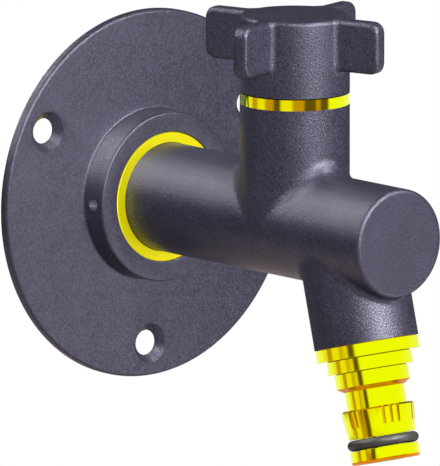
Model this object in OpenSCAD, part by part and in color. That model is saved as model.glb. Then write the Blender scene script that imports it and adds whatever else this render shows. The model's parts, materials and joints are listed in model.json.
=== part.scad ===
// Garden tap for a wall: a screwed-on rosette, a threaded inlet behind it, a horizontal valve body
// with an upright neck and a slanted outlet, a quarter-turn ceramic headwork under a cross handle,
// and a quick-connect plug for a hose with a check valve inside.
//
// The origin is the centre of the rosette's back face, where it meets the wall. -Y points out of
// the wall, +Z is up, and +X is to the right when facing the wall. Sizes are in millimetres.
// A reach is a distance out from the wall, a height is measured up from the pipe's axis, and a
// drop runs down the outlet's own axis from where it crosses the pipe's axis.

/* [Rosette] */
// Diameter of the wall plate
rosette_d = 85; // [78:1:100]
// Thickness of the wall plate
rosette_t = 2; // [1.5:0.1:3]
// Rounding of the plate's front edge
rosette_edge_r = 0.8; // [0.3:0.1:1.2]
// Wall of the boss round the inlet collar
boss_wall = 4.6; // [3.5:0.1:7]
// Reach of the boss's front face
boss_reach = 8.4; // [8:0.1:12]
// Rounding of the boss's front edge and of its foot
boss_edge_r = 0.6; // [0.3:0.1:0.8]
// Number of wall screws, evenly spaced with one at the bottom
screw_count = 3; // [3:1:6]
// Distance from the plate's rim in to the circle of wall screws
screw_edge = 7.5; // [7:0.5:10]
// Clearance hole for a wall screw
screw_hole_d = 5.8; // [4.5:0.1:6.2]
// Straight land left under each countersink
screw_land = 0.3; // [0.2:0.1:0.6]
// Thread of the grub screw in the boss
rosette_grub_d = 3; // [2.5:0.5:4]
// Depth of that grub screw's head under the boss's surface
rosette_grub_inset = 1.6; // [0.8:0.1:2]

/* [Inlet] */
// Outer diameter of the thread behind the wall
inlet_thread_d = 20.955; // [16.662:0.001:22]
// Length of the thread behind the wall
inlet_thread_l = 15; // [10:1:25]
// Bore of the inlet
inlet_bore_d = 12; // [10:0.5:12.5]
// Wall of the brass collar round the pipe's end
collar_wall = 2.4; // [2:0.1:3.5]
// How far the collar's face stands back from the boss's face
collar_inset = 0.1; // [0.1:0.1:0.6]
// Depth of the socket that takes the pipe's end
socket_depth = 5; // [3:0.5:5.5]
// Outer diameter of the threaded spigot inside the pipe
spigot_d = 16.6; // [16:0.1:17.5]
// Length of that spigot past the socket's floor
spigot_l = 12; // [9:0.5:14]

/* [Body] */
// Diameter of the pipe, of the neck and of the handle's hub
body_d = 25; // [25:0.5:28]
// Reach of the neck's axis
neck_reach = 53.3; // [48:0.1:70]
// Distance from the neck's axis out to the outlet's axis
outlet_step = 18.7; // [18:0.1:30]
// Distance from the outlet's axis out to the closed end
end_step = 18; // [16:0.1:26]
// Rounding of the closed end
end_edge_r = 1; // [0.4:0.1:2]
// Height of the neck's top
neck_h = 27.7; // [27:0.1:36]
// Diameter of the outlet tube
outlet_d = 23.8; // [23:0.1:25]
// Tilt of the outlet tube forward from the vertical
outlet_tilt = 15; // [0:1:25]
// Drop of the outlet tube's end
outlet_drop = 25; // [24:0.5:34]
// Wall round the valve chamber and the hollow front
body_wall = 2.5; // [2.2:0.1:3]
// Wall of the neck round the headwork's thread
neck_wall = 2; // [1.8:0.1:2.4]
// Height of the valve seat
seat_h = 4; // [3.5:0.1:5]
// Diameter of the hole through the valve seat
seat_d = 10; // [8:0.5:11]
// Diameter of the bore under the seat
feed_d = 11; // [9:0.5:11]
// Depth of that bore's axis below the pipe's axis
feed_drop = 4; // [3:0.1:4]

/* [Headwork] */
// Thickness of the brass ring between neck and handle
ring_t = 2.5; // [1.5:0.1:4]
// Length of the headwork's thread in the neck
bonnet_thread_l = 10; // [8:0.5:11]
// Height of the guide that stands up inside the handle
guide_h = 3; // [2:0.5:3.5]
// Diameter of the guide
guide_d = 14; // [12:0.5:15]
// Water gap round the disc cage
cage_gap = 0.8; // [0.5:0.1:1.2]
// Wall of the disc cage
cage_wall = 1.2; // [1:0.1:1.6]
// Thickness of the rubber ring under the cage
seat_seal_t = 1.2; // [0.8:0.1:1.6]
// Thickness of each ceramic disc
disc_t = 2.6; // [2:0.1:3]
// Height of the side ports above the discs
port_h = 4.6; // [3.5:0.1:5]
// Width of each side port
port_w = 8; // [5:0.5:10]
// Diameter of the spindle
spindle_d = 8; // [7:0.1:8.5]
// Thickness of the spindle's thrust flange
thrust_t = 1.5; // [1:0.1:2]
// Thickness of the slippery washer over that flange
washer_t = 0.5; // [0.3:0.1:0.8]
// Number of teeth on the spindle's spline
spline_teeth = 20; // [16:1:24]
// Depth of the spline's teeth
spline_depth = 0.35; // [0.25:0.05:0.45]

/* [Handle] */
// Height of the handle above its bottom edge
handle_h = 17.6; // [16.5:0.1:24]
// Length of each arm from the neck's axis
arm_l = 23.7; // [19:0.1:32]
// Thickness of each arm
arm_w = 3.7; // [3:0.1:6]
// Height of each arm
arm_h = 12; // [8:0.5:13]
// Rounding of an arm's outer corners seen from the side
arm_corner_r = 3; // [1:0.1:3.5]
// Rounding of an arm's outer corners seen from above
arm_edge_r = 1.2; // [0.4:0.1:1.4]
// Rounding of the hub's top edge
hub_edge_r = 1; // [0.4:0.1:1.5]
// Turn of the arms from the pipe's line when the tap is shut
arm_turn = 17; // [0:1:45]
// Thread of the grub screw that clamps the handle
handle_grub_d = 4; // [3:0.5:5]
// Length of that grub screw
handle_grub_l = 6; // [4:0.5:7]

/* [Hose plug] */
// Length of the plug's flange
plug_flange_l = 3; // [2:0.1:4]
// Diameter of the first step under the flange
step_d = 19.6; // [18.5:0.1:21.5]
// Length of the first step
step_l = 3.1; // [2:0.1:5]
// Diameter of the second step
shoulder_d = 17; // [16.8:0.1:18.4]
// Length of the second step, before its slope
shoulder_l = 3.4; // [2:0.1:5]
// Length of the slope down to the latch groove
slope_l = 1; // [0.6:0.1:2]
// Diameter of the latch groove's floor
latch_d = 13.7; // [13:0.1:14.5]
// Length of the latch groove
latch_l = 4.2; // [3:0.1:5]
// Diameter of the catch at its upper edge
catch_d = 16.7; // [16:0.1:17.4]
// Diameter of the catch at its lower edge
catch_low_d = 15.4; // [15:0.1:15.9]
// Length of the catch
catch_l = 6.6; // [5.5:0.1:8]
// Diameter of the plug's tip
tip_d = 15.8; // [15.4:0.1:16]
// Length of the plug's tip
tip_l = 3.1; // [2.2:0.1:4]
// Chamfer of the plug's tip
tip_chamfer = 0.6; // [0.3:0.1:1]
// Outer diameter of the plug's O-ring
plug_seal_d = 16.3; // [16.1:0.1:16.8]
// Thickness of the plug's O-ring
plug_seal_t = 2.4; // [1.8:0.1:2.6]
// Bore of the plug
plug_bore_d = 9.5; // [8:0.1:10]
// Outer diameter of the plug's thread in the outlet
plug_thread_d = 16.6; // [16.2:0.1:17]
// Length of that thread
plug_thread_l = 10; // [9.5:0.1:11]
// Groups of notches round the catch
notch_groups = 6; // [3:1:6]
// Angle between the notches of a group
notch_pitch = 12.4; // [10:0.1:14]
// Width of a notch
notch_w = 0.7; // [0.4:0.1:1]
// Depth of a notch
notch_depth = 0.6; // [0.3:0.1:0.7]
// Length of a notch down the catch
notch_l = 4.1; // [2:0.1:5]

/* [Check valve] */
// Wall of the housing
check_wall = 1.2; // [1:0.1:1.4]
// Diameter of the hole in the housing's seat
check_seat_d = 7; // [6:0.1:7.4]
// Thickness of the housing's seat
check_seat_t = 1.4; // [1.2:0.1:1.8]
// Wire of the spring
check_wire_d = 0.5; // [0.4:0.05:0.6]
// Turns of the spring
check_turns = 4; // [3:1:5]

/* [Hidden] */
$fn = 96;

// Radial gaps: a drawn thread in its bore, parts pushed together, a turning shaft, a seal
thread_gap = 0.08;
slip_gap = 0.05;
running_gap = 0.06;
seal_gap = 0.02;
// A cut runs past the face that it opens by this much
past = 1;
// Gap under the turning handle
handle_gap = 0.25;
// Lead-in chamfer of a thread
lead_in = 1;

body_r = body_d / 2;
outlet_r = outlet_d / 2;
outlet_reach = neck_reach + outlet_step;
body_reach = outlet_reach + end_step;

// Rosette and inlet collar
socket_r = body_r + slip_gap;
collar_r = socket_r + collar_wall;
collar_reach = boss_reach - collar_inset;
socket_floor = collar_reach - socket_depth;
rosette_bore_r = collar_r + slip_gap;
boss_r = rosette_bore_r + boss_wall;
screw_circle_r = rosette_d / 2 - screw_edge;
grub_reach = (rosette_t + boss_reach) / 2;
rosette_seal_t = 1.4;
rosette_seal_reach = rosette_t;
body_back = socket_floor + slip_gap;

// Spigot inside the pipe
spigot_r = spigot_d / 2;
spigot_end = socket_floor + spigot_l;
spigot_seal_t = 1.3;
spigot_seal_reach = spigot_end - 2;
spigot_bore_r = spigot_r + thread_gap;
spigot_bore_end = spigot_end + 1.5;

// Waterways of the body
chamber_r = body_r - body_wall;
neck_bore_r = body_r - neck_wall;
feed_end = neck_reach + seat_d / 2 + 0.5;
web_t = 1;
hollow_back = neck_reach + chamber_r + web_t;
hollow_end = body_reach - 4;
passage_r = body_r - neck_wall;

// Headwork, stacked up from the seat and down from the neck's top
bonnet_r = neck_bore_r - thread_gap;
bonnet_thread_bottom = neck_h - bonnet_thread_l;
cage_r = chamber_r - cage_gap;
cage_bore_r = cage_r - cage_wall;
cage_bottom = seat_h + seat_seal_t;
fixed_top = cage_bottom + disc_t;
rotating_top = fixed_top + disc_t;
thrust_bottom = rotating_top + port_h;
thrust_top = thrust_bottom + thrust_t;
cage_ceiling = thrust_top + washer_t;
ring_top = neck_h + ring_t;
guide_top = ring_top + guide_h;
disc_gap = 0.1;
disc_r = cage_bore_r - disc_gap;
port_sweep = 76;
drive_w = 3;
drive_depth = 1;
stem_r = spindle_d / 2;
spindle_bore_r = stem_r + running_gap;
waist_r = stem_r - 0.5;
thrust_r = cage_bore_r - 1.2;
bonnet_seal_t = 1.1;
spindle_seal_t = 1.5;
spindle_seal_h = [neck_h - 1.5, neck_h - 5];
clip_t = 0.8;
clip_bottom = guide_top + 0.1;
clip_depth = 0.6;
clip_r = stem_r + 1.4;

// Handle
handle_bottom = ring_top + handle_gap;
handle_top = handle_bottom + handle_h;
well_r = guide_d / 2 + 0.8;
well_top = clip_bottom + clip_t + 0.5;
spline_bottom = well_top + 0.2;
spline_top = handle_top - 4.6;
socket_top = spline_top + 0.5;
arm_bottom = handle_top - arm_h;
handle_grub_h = (well_top + spline_top) / 2;
handle_grub_start = stem_r + slip_gap;

// Hose plug: drops of its edges
flange_end = outlet_drop + plug_flange_l;
step_end = flange_end + step_l;
shoulder_end = step_end + shoulder_l;
slope_end = shoulder_end + slope_l;
catch_start = slope_end + latch_l;
catch_end = catch_start + catch_l;
groove_l = plug_seal_t + 0.3;
tip_start = catch_end + groove_l;
tip_end = tip_start + tip_l;
plug_seal_r = plug_seal_t / 2;
plug_seal_mid_r = plug_seal_d / 2 - plug_seal_r;
plug_thread_r = plug_thread_d / 2;
plug_thread_start = outlet_drop - plug_thread_l;
outlet_bore_r = plug_thread_r + thread_gap;
gasket_t = 1.6;
gasket_mid_r = plug_thread_r + gasket_t / 2 + seal_gap;
gasket_seat_r = gasket_mid_r + gasket_t / 2 + seal_gap;
notch_start_angle = 48.9;
catch_edge_r = 0.4;

// Check valve, in a pocket at the inner end of the plug
pocket_r = plug_thread_r - 1.8;
check_start = plug_thread_start;
check_end = outlet_drop - 0.5;
check_r = pocket_r - slip_gap;
check_bore_r = check_r - check_wall;
check_seat_end = check_start + check_seat_t;
spider_t = 1.4;
spider_end = check_end;
spider_start = spider_end - spider_t;
poppet_seal_t = 0.5;
poppet_start = check_seat_end + poppet_seal_t;
poppet_head_t = 1;
poppet_head_end = poppet_start + poppet_head_t;
poppet_r = check_seat_d / 2 + 0.7;
poppet_stem_r = 1;
poppet_stem_end = spider_end + 0.4;
check_seal_t = 0.8;
spring_mid_r = 2.6;
hub_r = spring_mid_r + check_wire_d;

// Places: local Z runs out of the wall, up the neck, or down the outlet
module from_wall(reach = 0) {
    rotate([90, 0, 0]) translate([0, 0, reach]) children();
}

module up_neck(height = 0) {
    translate([0, -neck_reach, height]) children();
}

module down_outlet(drop = 0) {
    translate([0, -outlet_reach, 0]) rotate([180 - outlet_tilt, 0, 0]) translate([0, 0, drop]) children();
}

// A ring of round section about local Z
module o_ring(mid_r, thickness) {
    rotate_extrude() translate([mid_r, 0]) circle(d = thickness);
}

// A groove for such a ring, cut in from radius outer_r down to floor_r
module ring_groove(floor_r, outer_r, length) {
    translate([0, 0, -length / 2]) difference() {
        cylinder(r = outer_r + past, h = length);
        translate([0, 0, -past]) cylinder(r = floor_r, h = length + 2 * past);
    }
}

// A cylinder whose far edge is rounded
module rounded_cylinder(r, h, edge_r) {
    rotate_extrude() {
        square([r, h - edge_r]);
        square([r - edge_r, h]);
        translate([r - edge_r, h - edge_r]) intersection() {
            circle(r = edge_r);
            square(edge_r);
        }
    }
}

// A cylinder whose far edge is cut off at 45 degrees
module chamfered_cylinder(r, h, chamfer) {
    rotate_extrude() polygon([[0, 0], [r, 0], [r, h - chamfer], [r - chamfer, h], [0, h]]);
}

// A headless screw with a hexagon socket in its far end
module grub_screw(d, l) {
    key = 0.5 * d;
    difference() {
        cylinder(d = d - 2 * slip_gap, h = l);
        translate([0, 0, l - 0.4 * l]) cylinder(d = key, h = l, $fn = 6);
    }
}

// Rosette: a turned plate with a boss, held by countersunk wall screws
module wall_rosette() {
    color("#5d596c") difference() {
        from_wall() union() {
            rounded_cylinder(rosette_d / 2, rosette_t, rosette_edge_r);
            rounded_cylinder(boss_r, boss_reach, boss_edge_r);
            boss_foot();
        }
        from_wall(-past) cylinder(r = rosette_bore_r, h = boss_reach + 2 * past);
        for (i = [0 : screw_count - 1])
            from_wall() rotate([0, 0, -90 + i * 360 / screw_count])
                translate([screw_circle_r, 0, 0]) screw_hole();
        from_wall(grub_reach) rotate([0, -90, 0]) cylinder(d = rosette_grub_d, h = boss_r + past);
    }
}

// The small hollow curve where the boss meets the plate
module boss_foot() {
    foot_r = boss_edge_r;
    translate([0, 0, rosette_t]) rotate_extrude() difference() {
        translate([boss_r - foot_r, 0]) square([2 * foot_r, foot_r]);
        translate([boss_r + foot_r, foot_r]) circle(r = foot_r);
    }
}

module screw_hole() {
    sink = rosette_t - screw_land;
    translate([0, 0, -past]) cylinder(d = screw_hole_d, h = rosette_t + 2 * past);
    translate([0, 0, screw_land]) cylinder(d1 = screw_hole_d, d2 = screw_hole_d + 4 * sink, h = 2 * sink);
}

module rosette_grub_screw() {
    color("silver") from_wall(grub_reach) rotate([0, -90, 0]) translate([0, 0, collar_r + slip_gap])
        grub_screw(rosette_grub_d, boss_wall - rosette_grub_inset);
}

module rosette_o_ring() {
    color("#202022") from_wall(rosette_seal_reach)
        o_ring(rosette_bore_r - seal_gap - rosette_seal_t / 2, rosette_seal_t);
}

// Inlet nipple: a brass collar that carries the rosette, with a thread on each side
module inlet_nipple() {
    color("gold") difference() {
        union() {
            from_wall() cylinder(r = collar_r, h = collar_reach);
            rotate([-90, 0, 0]) chamfered_cylinder(inlet_thread_d / 2, inlet_thread_l, lead_in);
        }
        from_wall(socket_floor) difference() {
            cylinder(r = socket_r, h = socket_depth + past);
            translate([0, 0, -past]) cylinder(r = spigot_r, h = socket_depth + 3 * past);
        }
        from_wall(-inlet_thread_l - past)
            cylinder(d = inlet_bore_d, h = inlet_thread_l + spigot_end + 2 * past);
        from_wall(rosette_seal_reach)
            ring_groove(rosette_bore_r - rosette_seal_t - 2 * seal_gap, collar_r, rosette_seal_t + 0.3);
    }
    color("gold") from_wall(socket_floor) difference() {
        chamfered_cylinder(spigot_r, spigot_l, lead_in / 2);
        translate([0, 0, -past]) cylinder(d = inlet_bore_d, h = spigot_l + 2 * past);
        translate([0, 0, spigot_seal_reach - socket_floor])
            ring_groove(spigot_r - spigot_seal_t + seal_gap, spigot_r, spigot_seal_t + 0.3);
    }
}

module nipple_o_ring() {
    color("#202022") from_wall(spigot_seal_reach)
        o_ring(spigot_bore_r - seal_gap - spigot_seal_t / 2, spigot_seal_t);
}

// Body: one casting with a pipe, a neck and an outlet tube, bored out for the water
module tap_body() {
    color("#4f4b5e") difference() {
        union() {
            from_wall(body_back) rounded_cylinder(body_r, body_reach - body_back, end_edge_r);
            up_neck() cylinder(r = body_r, h = neck_h);
            down_outlet() cylinder(r = outlet_r, h = outlet_drop);
        }
        inlet_way();
        valve_way();
        outlet_way();
    }
}

module inlet_way() {
    from_wall(body_back - past) cylinder(r = spigot_bore_r, h = spigot_bore_end - body_back + past);
    from_wall(spigot_bore_end - past) translate([0, -feed_drop, 0])
        cylinder(d = feed_d, h = feed_end - spigot_bore_end + past);
    up_neck(-feed_drop) cylinder(d = seat_d, h = seat_h + feed_drop + past);
}

module valve_way() {
    up_neck(seat_h) cylinder(r = chamber_r, h = neck_h - seat_h + past);
    up_neck(bonnet_thread_bottom - 0.5) cylinder(r = neck_bore_r, h = bonnet_thread_l + 0.5 + past);
    up_neck(neck_h - bonnet_seal_t - 2 * seal_gap)
        cylinder(r = bonnet_r + bonnet_seal_t + 3 * seal_gap, h = bonnet_seal_t + past);
}

module outlet_way() {
    from_wall(neck_reach) intersection() {
        cylinder(r = passage_r, h = hollow_back - neck_reach + past);
        translate([-body_r, seat_h, 0]) cube([body_d, body_r, hollow_back]);
    }
    from_wall(hollow_back) cylinder(r = chamber_r, h = hollow_end - hollow_back);
    down_outlet() cylinder(r = pocket_r, h = outlet_drop);
    down_outlet(plug_thread_start - 1) cylinder(r = outlet_bore_r, h = plug_thread_l + 1 + past);
    down_outlet(outlet_drop - gasket_t - 2 * seal_gap) cylinder(r = gasket_seat_r, h = gasket_t + past);
}

// Bonnet: the brass housing of the headwork, screwed into the neck
module bonnet() {
    color("gold") difference() {
        union() {
            up_neck(cage_bottom) cylinder(r = cage_r, h = neck_h - cage_bottom);
            up_neck(bonnet_thread_bottom) cylinder(r = bonnet_r, h = bonnet_thread_l);
            up_neck(neck_h) cylinder(r = body_r, h = ring_t);
            up_neck(ring_top) cylinder(d = guide_d, h = guide_h);
        }
        up_neck(cage_bottom - past) cylinder(r = cage_bore_r, h = cage_ceiling - cage_bottom + past);
        up_neck(cage_ceiling - past) cylinder(r = spindle_bore_r, h = guide_top - cage_ceiling + 2 * past);
        up_neck(rotating_top) translate([-body_r, -port_w / 2, 0]) cube([body_d, port_w, port_h]);
    }
}

module bonnet_o_ring() {
    color("#202022") up_neck(neck_h - bonnet_seal_t / 2 - seal_gap)
        o_ring(bonnet_r + bonnet_seal_t / 2 + seal_gap, bonnet_seal_t);
}

module seat_seal() {
    color("#202022") up_neck(seat_h) difference() {
        cylinder(r = cage_r - 0.3, h = seat_seal_t);
        translate([0, 0, -past]) cylinder(d = seat_d + 0.4, h = seat_seal_t + 2 * past);
    }
}

// A ceramic disc with two opposite ports, which open when the two discs' ports line up
module port_disc() {
    linear_extrude(disc_t) difference() {
        circle(r = disc_r);
        for (side = [0, 180]) rotate(side) port_sector();
    }
}

module port_sector() {
    inner_r = 2;
    outer_r = seat_d / 2;
    far = 2 * outer_r;
    half = port_sweep / 2;
    intersection() {
        difference() {
            circle(r = outer_r);
            circle(r = inner_r);
        }
        polygon([[0, 0], [far * cos(half), far * sin(half)], [far * cos(half), -far * sin(half)]]);
    }
}

module fixed_disc() {
    color("white") up_neck(cage_bottom) port_disc();
}

module rotating_disc() {
    color("white") up_neck(fixed_top) difference() {
        rotate(90) port_disc();
        translate([-drive_w / 2, -disc_r - past, disc_t - drive_depth])
            cube([drive_w, 2 * disc_r + 2 * past, drive_depth + past]);
    }
}

// Spindle: turns the upper disc through a tongue, and takes the handle on its spline
module spindle() {
    tongue_w = drive_w - 2 * slip_gap;
    tongue_l = 2 * disc_r - 2;
    color("goldenrod") difference() {
        union() {
            up_neck(rotating_top - drive_depth + slip_gap) translate([-tongue_w / 2, -tongue_l / 2, 0])
                cube([tongue_w, tongue_l, drive_depth + 1]);
            up_neck(rotating_top) cylinder(r = waist_r, h = port_h);
            up_neck(thrust_bottom) cylinder(r = thrust_r, h = thrust_t);
            up_neck(thrust_top) cylinder(r = stem_r, h = well_top - thrust_top);
            up_neck(well_top - past) cylinder(r = waist_r, h = spline_bottom - well_top + 2 * past);
            up_neck(spline_bottom) linear_extrude(spline_top - spline_bottom) spline_outline(0);
        }
        for (height = spindle_seal_h) up_neck(height)
            ring_groove(spindle_bore_r - spindle_seal_t, stem_r, spindle_seal_t + 0.2);
        up_neck(clip_bottom + clip_t / 2) ring_groove(stem_r - clip_depth, stem_r, clip_t + 0.1);
    }
}

// The toothed outline of the spline, grown outward by a gap for its socket
module spline_outline(gap) {
    tooth_w = 0.55 * PI * spindle_d / spline_teeth;
    circle(r = stem_r - spline_depth + gap);
    for (i = [0 : spline_teeth - 1]) rotate(i * 360 / spline_teeth)
        translate([stem_r - 2 * spline_depth, -tooth_w / 2 - gap])
            square([2 * spline_depth + gap, tooth_w + 2 * gap]);
}

module spindle_o_rings() {
    color("#202022") for (height = spindle_seal_h) up_neck(height)
        o_ring(spindle_bore_r - spindle_seal_t / 2 - seal_gap / 2, spindle_seal_t - seal_gap);
}

module thrust_washer() {
    color("white") up_neck(thrust_top) difference() {
        cylinder(r = thrust_r, h = washer_t);
        translate([0, 0, -past]) cylinder(r = stem_r + slip_gap, h = washer_t + 2 * past);
    }
}

module spindle_circlip() {
    gap_w = stem_r;
    color("silver") up_neck(clip_bottom) difference() {
        cylinder(r = clip_r, h = clip_t);
        translate([0, 0, -past]) cylinder(r = stem_r - clip_depth + slip_gap, h = clip_t + 2 * past);
        translate([0, -gap_w / 2, -past]) cube([clip_r + past, gap_w, clip_t + 2 * past]);
    }
}

// Handle: a hub with four upright fins, clamped on the spline by a grub screw at the back
module handle() {
    color("#4f4b5e") difference() {
        union() {
            up_neck(handle_bottom) rounded_cylinder(body_r, handle_h, hub_edge_r);
            for (i = [0 : 3]) up_neck() rotate([0, 0, arm_turn + i * 90]) handle_arm();
        }
        up_neck(handle_bottom - past) cylinder(r = well_r, h = well_top - handle_bottom + past);
        up_neck(well_top - past) linear_extrude(socket_top - well_top + past) spline_outline(slip_gap);
        up_neck(handle_grub_h) rotate([0, 90, arm_turn + 45]) cylinder(d = handle_grub_d, h = body_r + past);
    }
}

// One fin along local X, rounded at its outer end from above and from the side
module handle_arm() {
    intersection() {
        translate([0, 0, arm_bottom]) linear_extrude(arm_h) arm_outline(arm_l, arm_w, arm_edge_r);
        translate([0, arm_w / 2 + past, arm_bottom + arm_h / 2]) rotate([90, 0, 0])
            linear_extrude(arm_w + 2 * past) arm_outline(arm_l, arm_h, arm_corner_r);
    }
}

// A bar from the centre out to a far end with two rounded corners
module arm_outline(l, w, corner_r) {
    translate([0, -w / 2]) square([l - corner_r, w]);
    translate([0, corner_r - w / 2]) square([l, w - 2 * corner_r]);
    for (side = [-1, 1]) translate([l - corner_r, side * (w / 2 - corner_r)]) circle(r = corner_r);
}

module handle_grub_screw() {
    color("silver") up_neck(handle_grub_h) rotate([0, 90, arm_turn + 45]) translate([0, 0, handle_grub_start])
        grub_screw(handle_grub_d, handle_grub_l);
}

// Hose plug: a turned brass nipple with a latch groove, a notched catch and an O-ring groove
module hose_plug() {
    color("gold") difference() {
        down_outlet() rotate_extrude() plug_outline();
        down_outlet(check_end - past) cylinder(d = plug_bore_d, h = tip_end - check_end + 2 * past);
        down_outlet(check_start - past) cylinder(r = pocket_r, h = check_end - check_start + past);
        for (g = [0 : notch_groups - 1], i = [-1 : 1])
            down_outlet(catch_start) rotate(notch_start_angle + g * 360 / notch_groups + i * notch_pitch)
                translate([catch_d / 2 - notch_depth, -notch_w / 2, -past])
                    cube([past + notch_depth, notch_w, notch_l + past]);
    }
}

// Half section of the plug: radius across, drop up the page
module plug_outline() {
    polygon([
        [0, plug_thread_start], [plug_thread_r - lead_in / 2, plug_thread_start],
        [plug_thread_r, plug_thread_start + lead_in / 2], [plug_thread_r, outlet_drop],
        [outlet_r, outlet_drop], [outlet_r, flange_end],
        [step_d / 2, flange_end], [step_d / 2, step_end],
        [shoulder_d / 2, step_end], [shoulder_d / 2, shoulder_end],
        [latch_d / 2, slope_end], [latch_d / 2, catch_start],
        [catch_d / 2 - catch_edge_r, catch_start], [catch_d / 2, catch_start + catch_edge_r],
        [catch_low_d / 2, catch_end], [plug_seal_mid_r - plug_seal_r - seal_gap, catch_end],
        [plug_seal_mid_r - plug_seal_r - seal_gap, tip_start], [tip_d / 2, tip_start],
        [tip_d / 2, tip_end - tip_chamfer], [tip_d / 2 - tip_chamfer, tip_end], [0, tip_end]
    ]);
}

module plug_o_ring() {
    color("#3a3a3c") down_outlet((catch_end + tip_start) / 2) o_ring(plug_seal_mid_r, plug_seal_t);
}

module plug_gasket() {
    color("#202022") down_outlet(outlet_drop - gasket_t / 2 - seal_gap) o_ring(gasket_mid_r, gasket_t);
}

// Check valve: a plastic insert whose sprung poppet lets water out and none back
module check_housing() {
    color("ivory") difference() {
        down_outlet(check_start) cylinder(r = check_r, h = check_end - check_start);
        down_outlet(check_start - past) cylinder(d = check_seat_d, h = check_seat_t + 2 * past);
        down_outlet(check_seat_end) cylinder(r = check_bore_r, h = spider_start - check_seat_end);
        down_outlet(spider_start - past) linear_extrude(spider_t + 2 * past) spider_windows();
        down_outlet(check_start + check_seat_t / 2)
            ring_groove(check_r - check_seal_t - seal_gap, check_r, check_seal_t + 0.1);
        down_outlet(spider_start - past) cylinder(r = poppet_stem_r + slip_gap, h = spider_t + 2 * past);
    }
}

// What is open between the spider's hub, its three arms and its rim
module spider_windows() {
    arm_t = 1.2;
    difference() {
        circle(r = check_bore_r);
        circle(r = hub_r);
        for (i = [0 : 2]) rotate(i * 120) translate([0, -arm_t / 2]) square([check_r, arm_t]);
    }
}

module check_o_ring() {
    color("#202022") down_outlet(check_start + check_seat_t / 2)
        o_ring(pocket_r - seal_gap - check_seal_t / 2, check_seal_t);
}

module check_poppet() {
    color("ivory") down_outlet() union() {
        translate([0, 0, poppet_start]) cylinder(r = poppet_r, h = poppet_head_t);
        translate([0, 0, poppet_head_end - past / 2])
            cylinder(r = poppet_stem_r, h = poppet_stem_end - poppet_head_end + past / 2);
    }
}

module check_poppet_seal() {
    color("#202022") down_outlet(check_seat_end) difference() {
        cylinder(r = poppet_r, h = poppet_seal_t);
        translate([0, 0, -past]) cylinder(d = check_seat_d - 1.4, h = poppet_seal_t + 2 * past);
    }
}

// Open coil between the poppet's head and the spider
module check_spring() {
    color("silver") down_outlet()
        coil(spring_mid_r, check_wire_d / 2, poppet_head_end, spider_start, check_turns);
}

// A coil of round wire: rings of points swept along a helix, joined by triangles
module coil(mid_r, wire_r, low, high, turns) {
    steps = 12 * turns;
    sides = 6;
    rise = high - low - 2 * wire_r - 2 * seal_gap;
    lift = rise / (turns * 2 * PI * mid_r);
    lean = atan(lift);
    points = [
        for (s = [0 : steps], k = [0 : sides - 1])
            let (turn = 360 * turns * s / steps, a = 360 * k / sides)
            let (out = wire_r * cos(a), up = wire_r * sin(a))
            [
                (mid_r + out) * cos(turn) + up * sin(lean) * sin(turn),
                (mid_r + out) * sin(turn) - up * sin(lean) * cos(turn),
                low + wire_r + seal_gap + rise * s / steps + up * cos(lean)
            ]
    ];
    walls = [
        for (s = [0 : steps - 1], k = [0 : sides - 1], half = [0, 1])
            let (a = s * sides + k, b = s * sides + (k + 1) % sides)
            half == 0 ? [a, a + sides, b] : [b, a + sides, b + sides]
    ];
    caps = [
        for (k = [1 : sides - 2], far = [0, 1])
            far == 0 ? [0, k, k + 1] : [steps * sides, steps * sides + k + 1, steps * sides + k]
    ];
    polyhedron(points = points, faces = concat(walls, caps));
}

wall_rosette();
rosette_grub_screw();
rosette_o_ring();
inlet_nipple();
nipple_o_ring();
tap_body();
bonnet();
bonnet_o_ring();
seat_seal();
fixed_disc();
rotating_disc();
spindle();
spindle_o_rings();
thrust_washer();
spindle_circlip();
handle();
handle_grub_screw();
hose_plug();
plug_o_ring();
plug_gasket();
check_housing();
check_o_ring();
check_poppet();
check_poppet_seal();
check_spring();
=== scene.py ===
import json
import math
import bmesh
import bpy
import numpy as np
from mathutils import Matrix, Vector

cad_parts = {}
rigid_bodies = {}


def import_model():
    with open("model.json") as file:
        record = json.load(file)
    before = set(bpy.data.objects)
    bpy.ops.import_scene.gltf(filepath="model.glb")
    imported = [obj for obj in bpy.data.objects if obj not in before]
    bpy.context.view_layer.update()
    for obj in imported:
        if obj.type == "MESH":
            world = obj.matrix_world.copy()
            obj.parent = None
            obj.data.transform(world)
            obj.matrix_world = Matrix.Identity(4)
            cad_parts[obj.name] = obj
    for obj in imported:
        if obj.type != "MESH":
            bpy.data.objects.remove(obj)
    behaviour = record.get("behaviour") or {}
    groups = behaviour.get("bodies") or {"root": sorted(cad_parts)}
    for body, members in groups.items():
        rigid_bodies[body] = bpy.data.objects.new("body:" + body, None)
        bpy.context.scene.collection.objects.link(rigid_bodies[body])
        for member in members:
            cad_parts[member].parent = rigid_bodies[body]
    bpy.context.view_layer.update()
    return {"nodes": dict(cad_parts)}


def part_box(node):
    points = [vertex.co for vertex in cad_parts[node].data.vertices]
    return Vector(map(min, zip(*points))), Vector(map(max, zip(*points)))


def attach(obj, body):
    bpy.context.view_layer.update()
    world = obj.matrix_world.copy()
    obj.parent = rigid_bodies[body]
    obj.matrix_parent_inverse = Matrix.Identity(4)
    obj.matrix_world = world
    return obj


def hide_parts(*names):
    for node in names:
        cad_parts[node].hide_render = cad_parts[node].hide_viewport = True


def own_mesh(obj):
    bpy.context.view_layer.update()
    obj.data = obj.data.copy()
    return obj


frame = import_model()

# Body
# One hollow casting: a pipe along the reach, an upright neck for the valve, and an outlet tube that
# leans forward. It is screwed onto the inlet nipple and has a fine-grained graphite powder coat.
# It is drawn as a skin over rounded forms with poured fillets, then cut to length and bored.
PIPE_R = (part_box("tap_body")[1][0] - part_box("tap_body")[0][0]) / 2
PIPE_END = -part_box("tap_body")[0][1]
PIPE_BACK = -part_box("tap_body")[1][1]
NECK_REACH = 0.0533
NECK_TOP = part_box("tap_body")[1][2]
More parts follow.
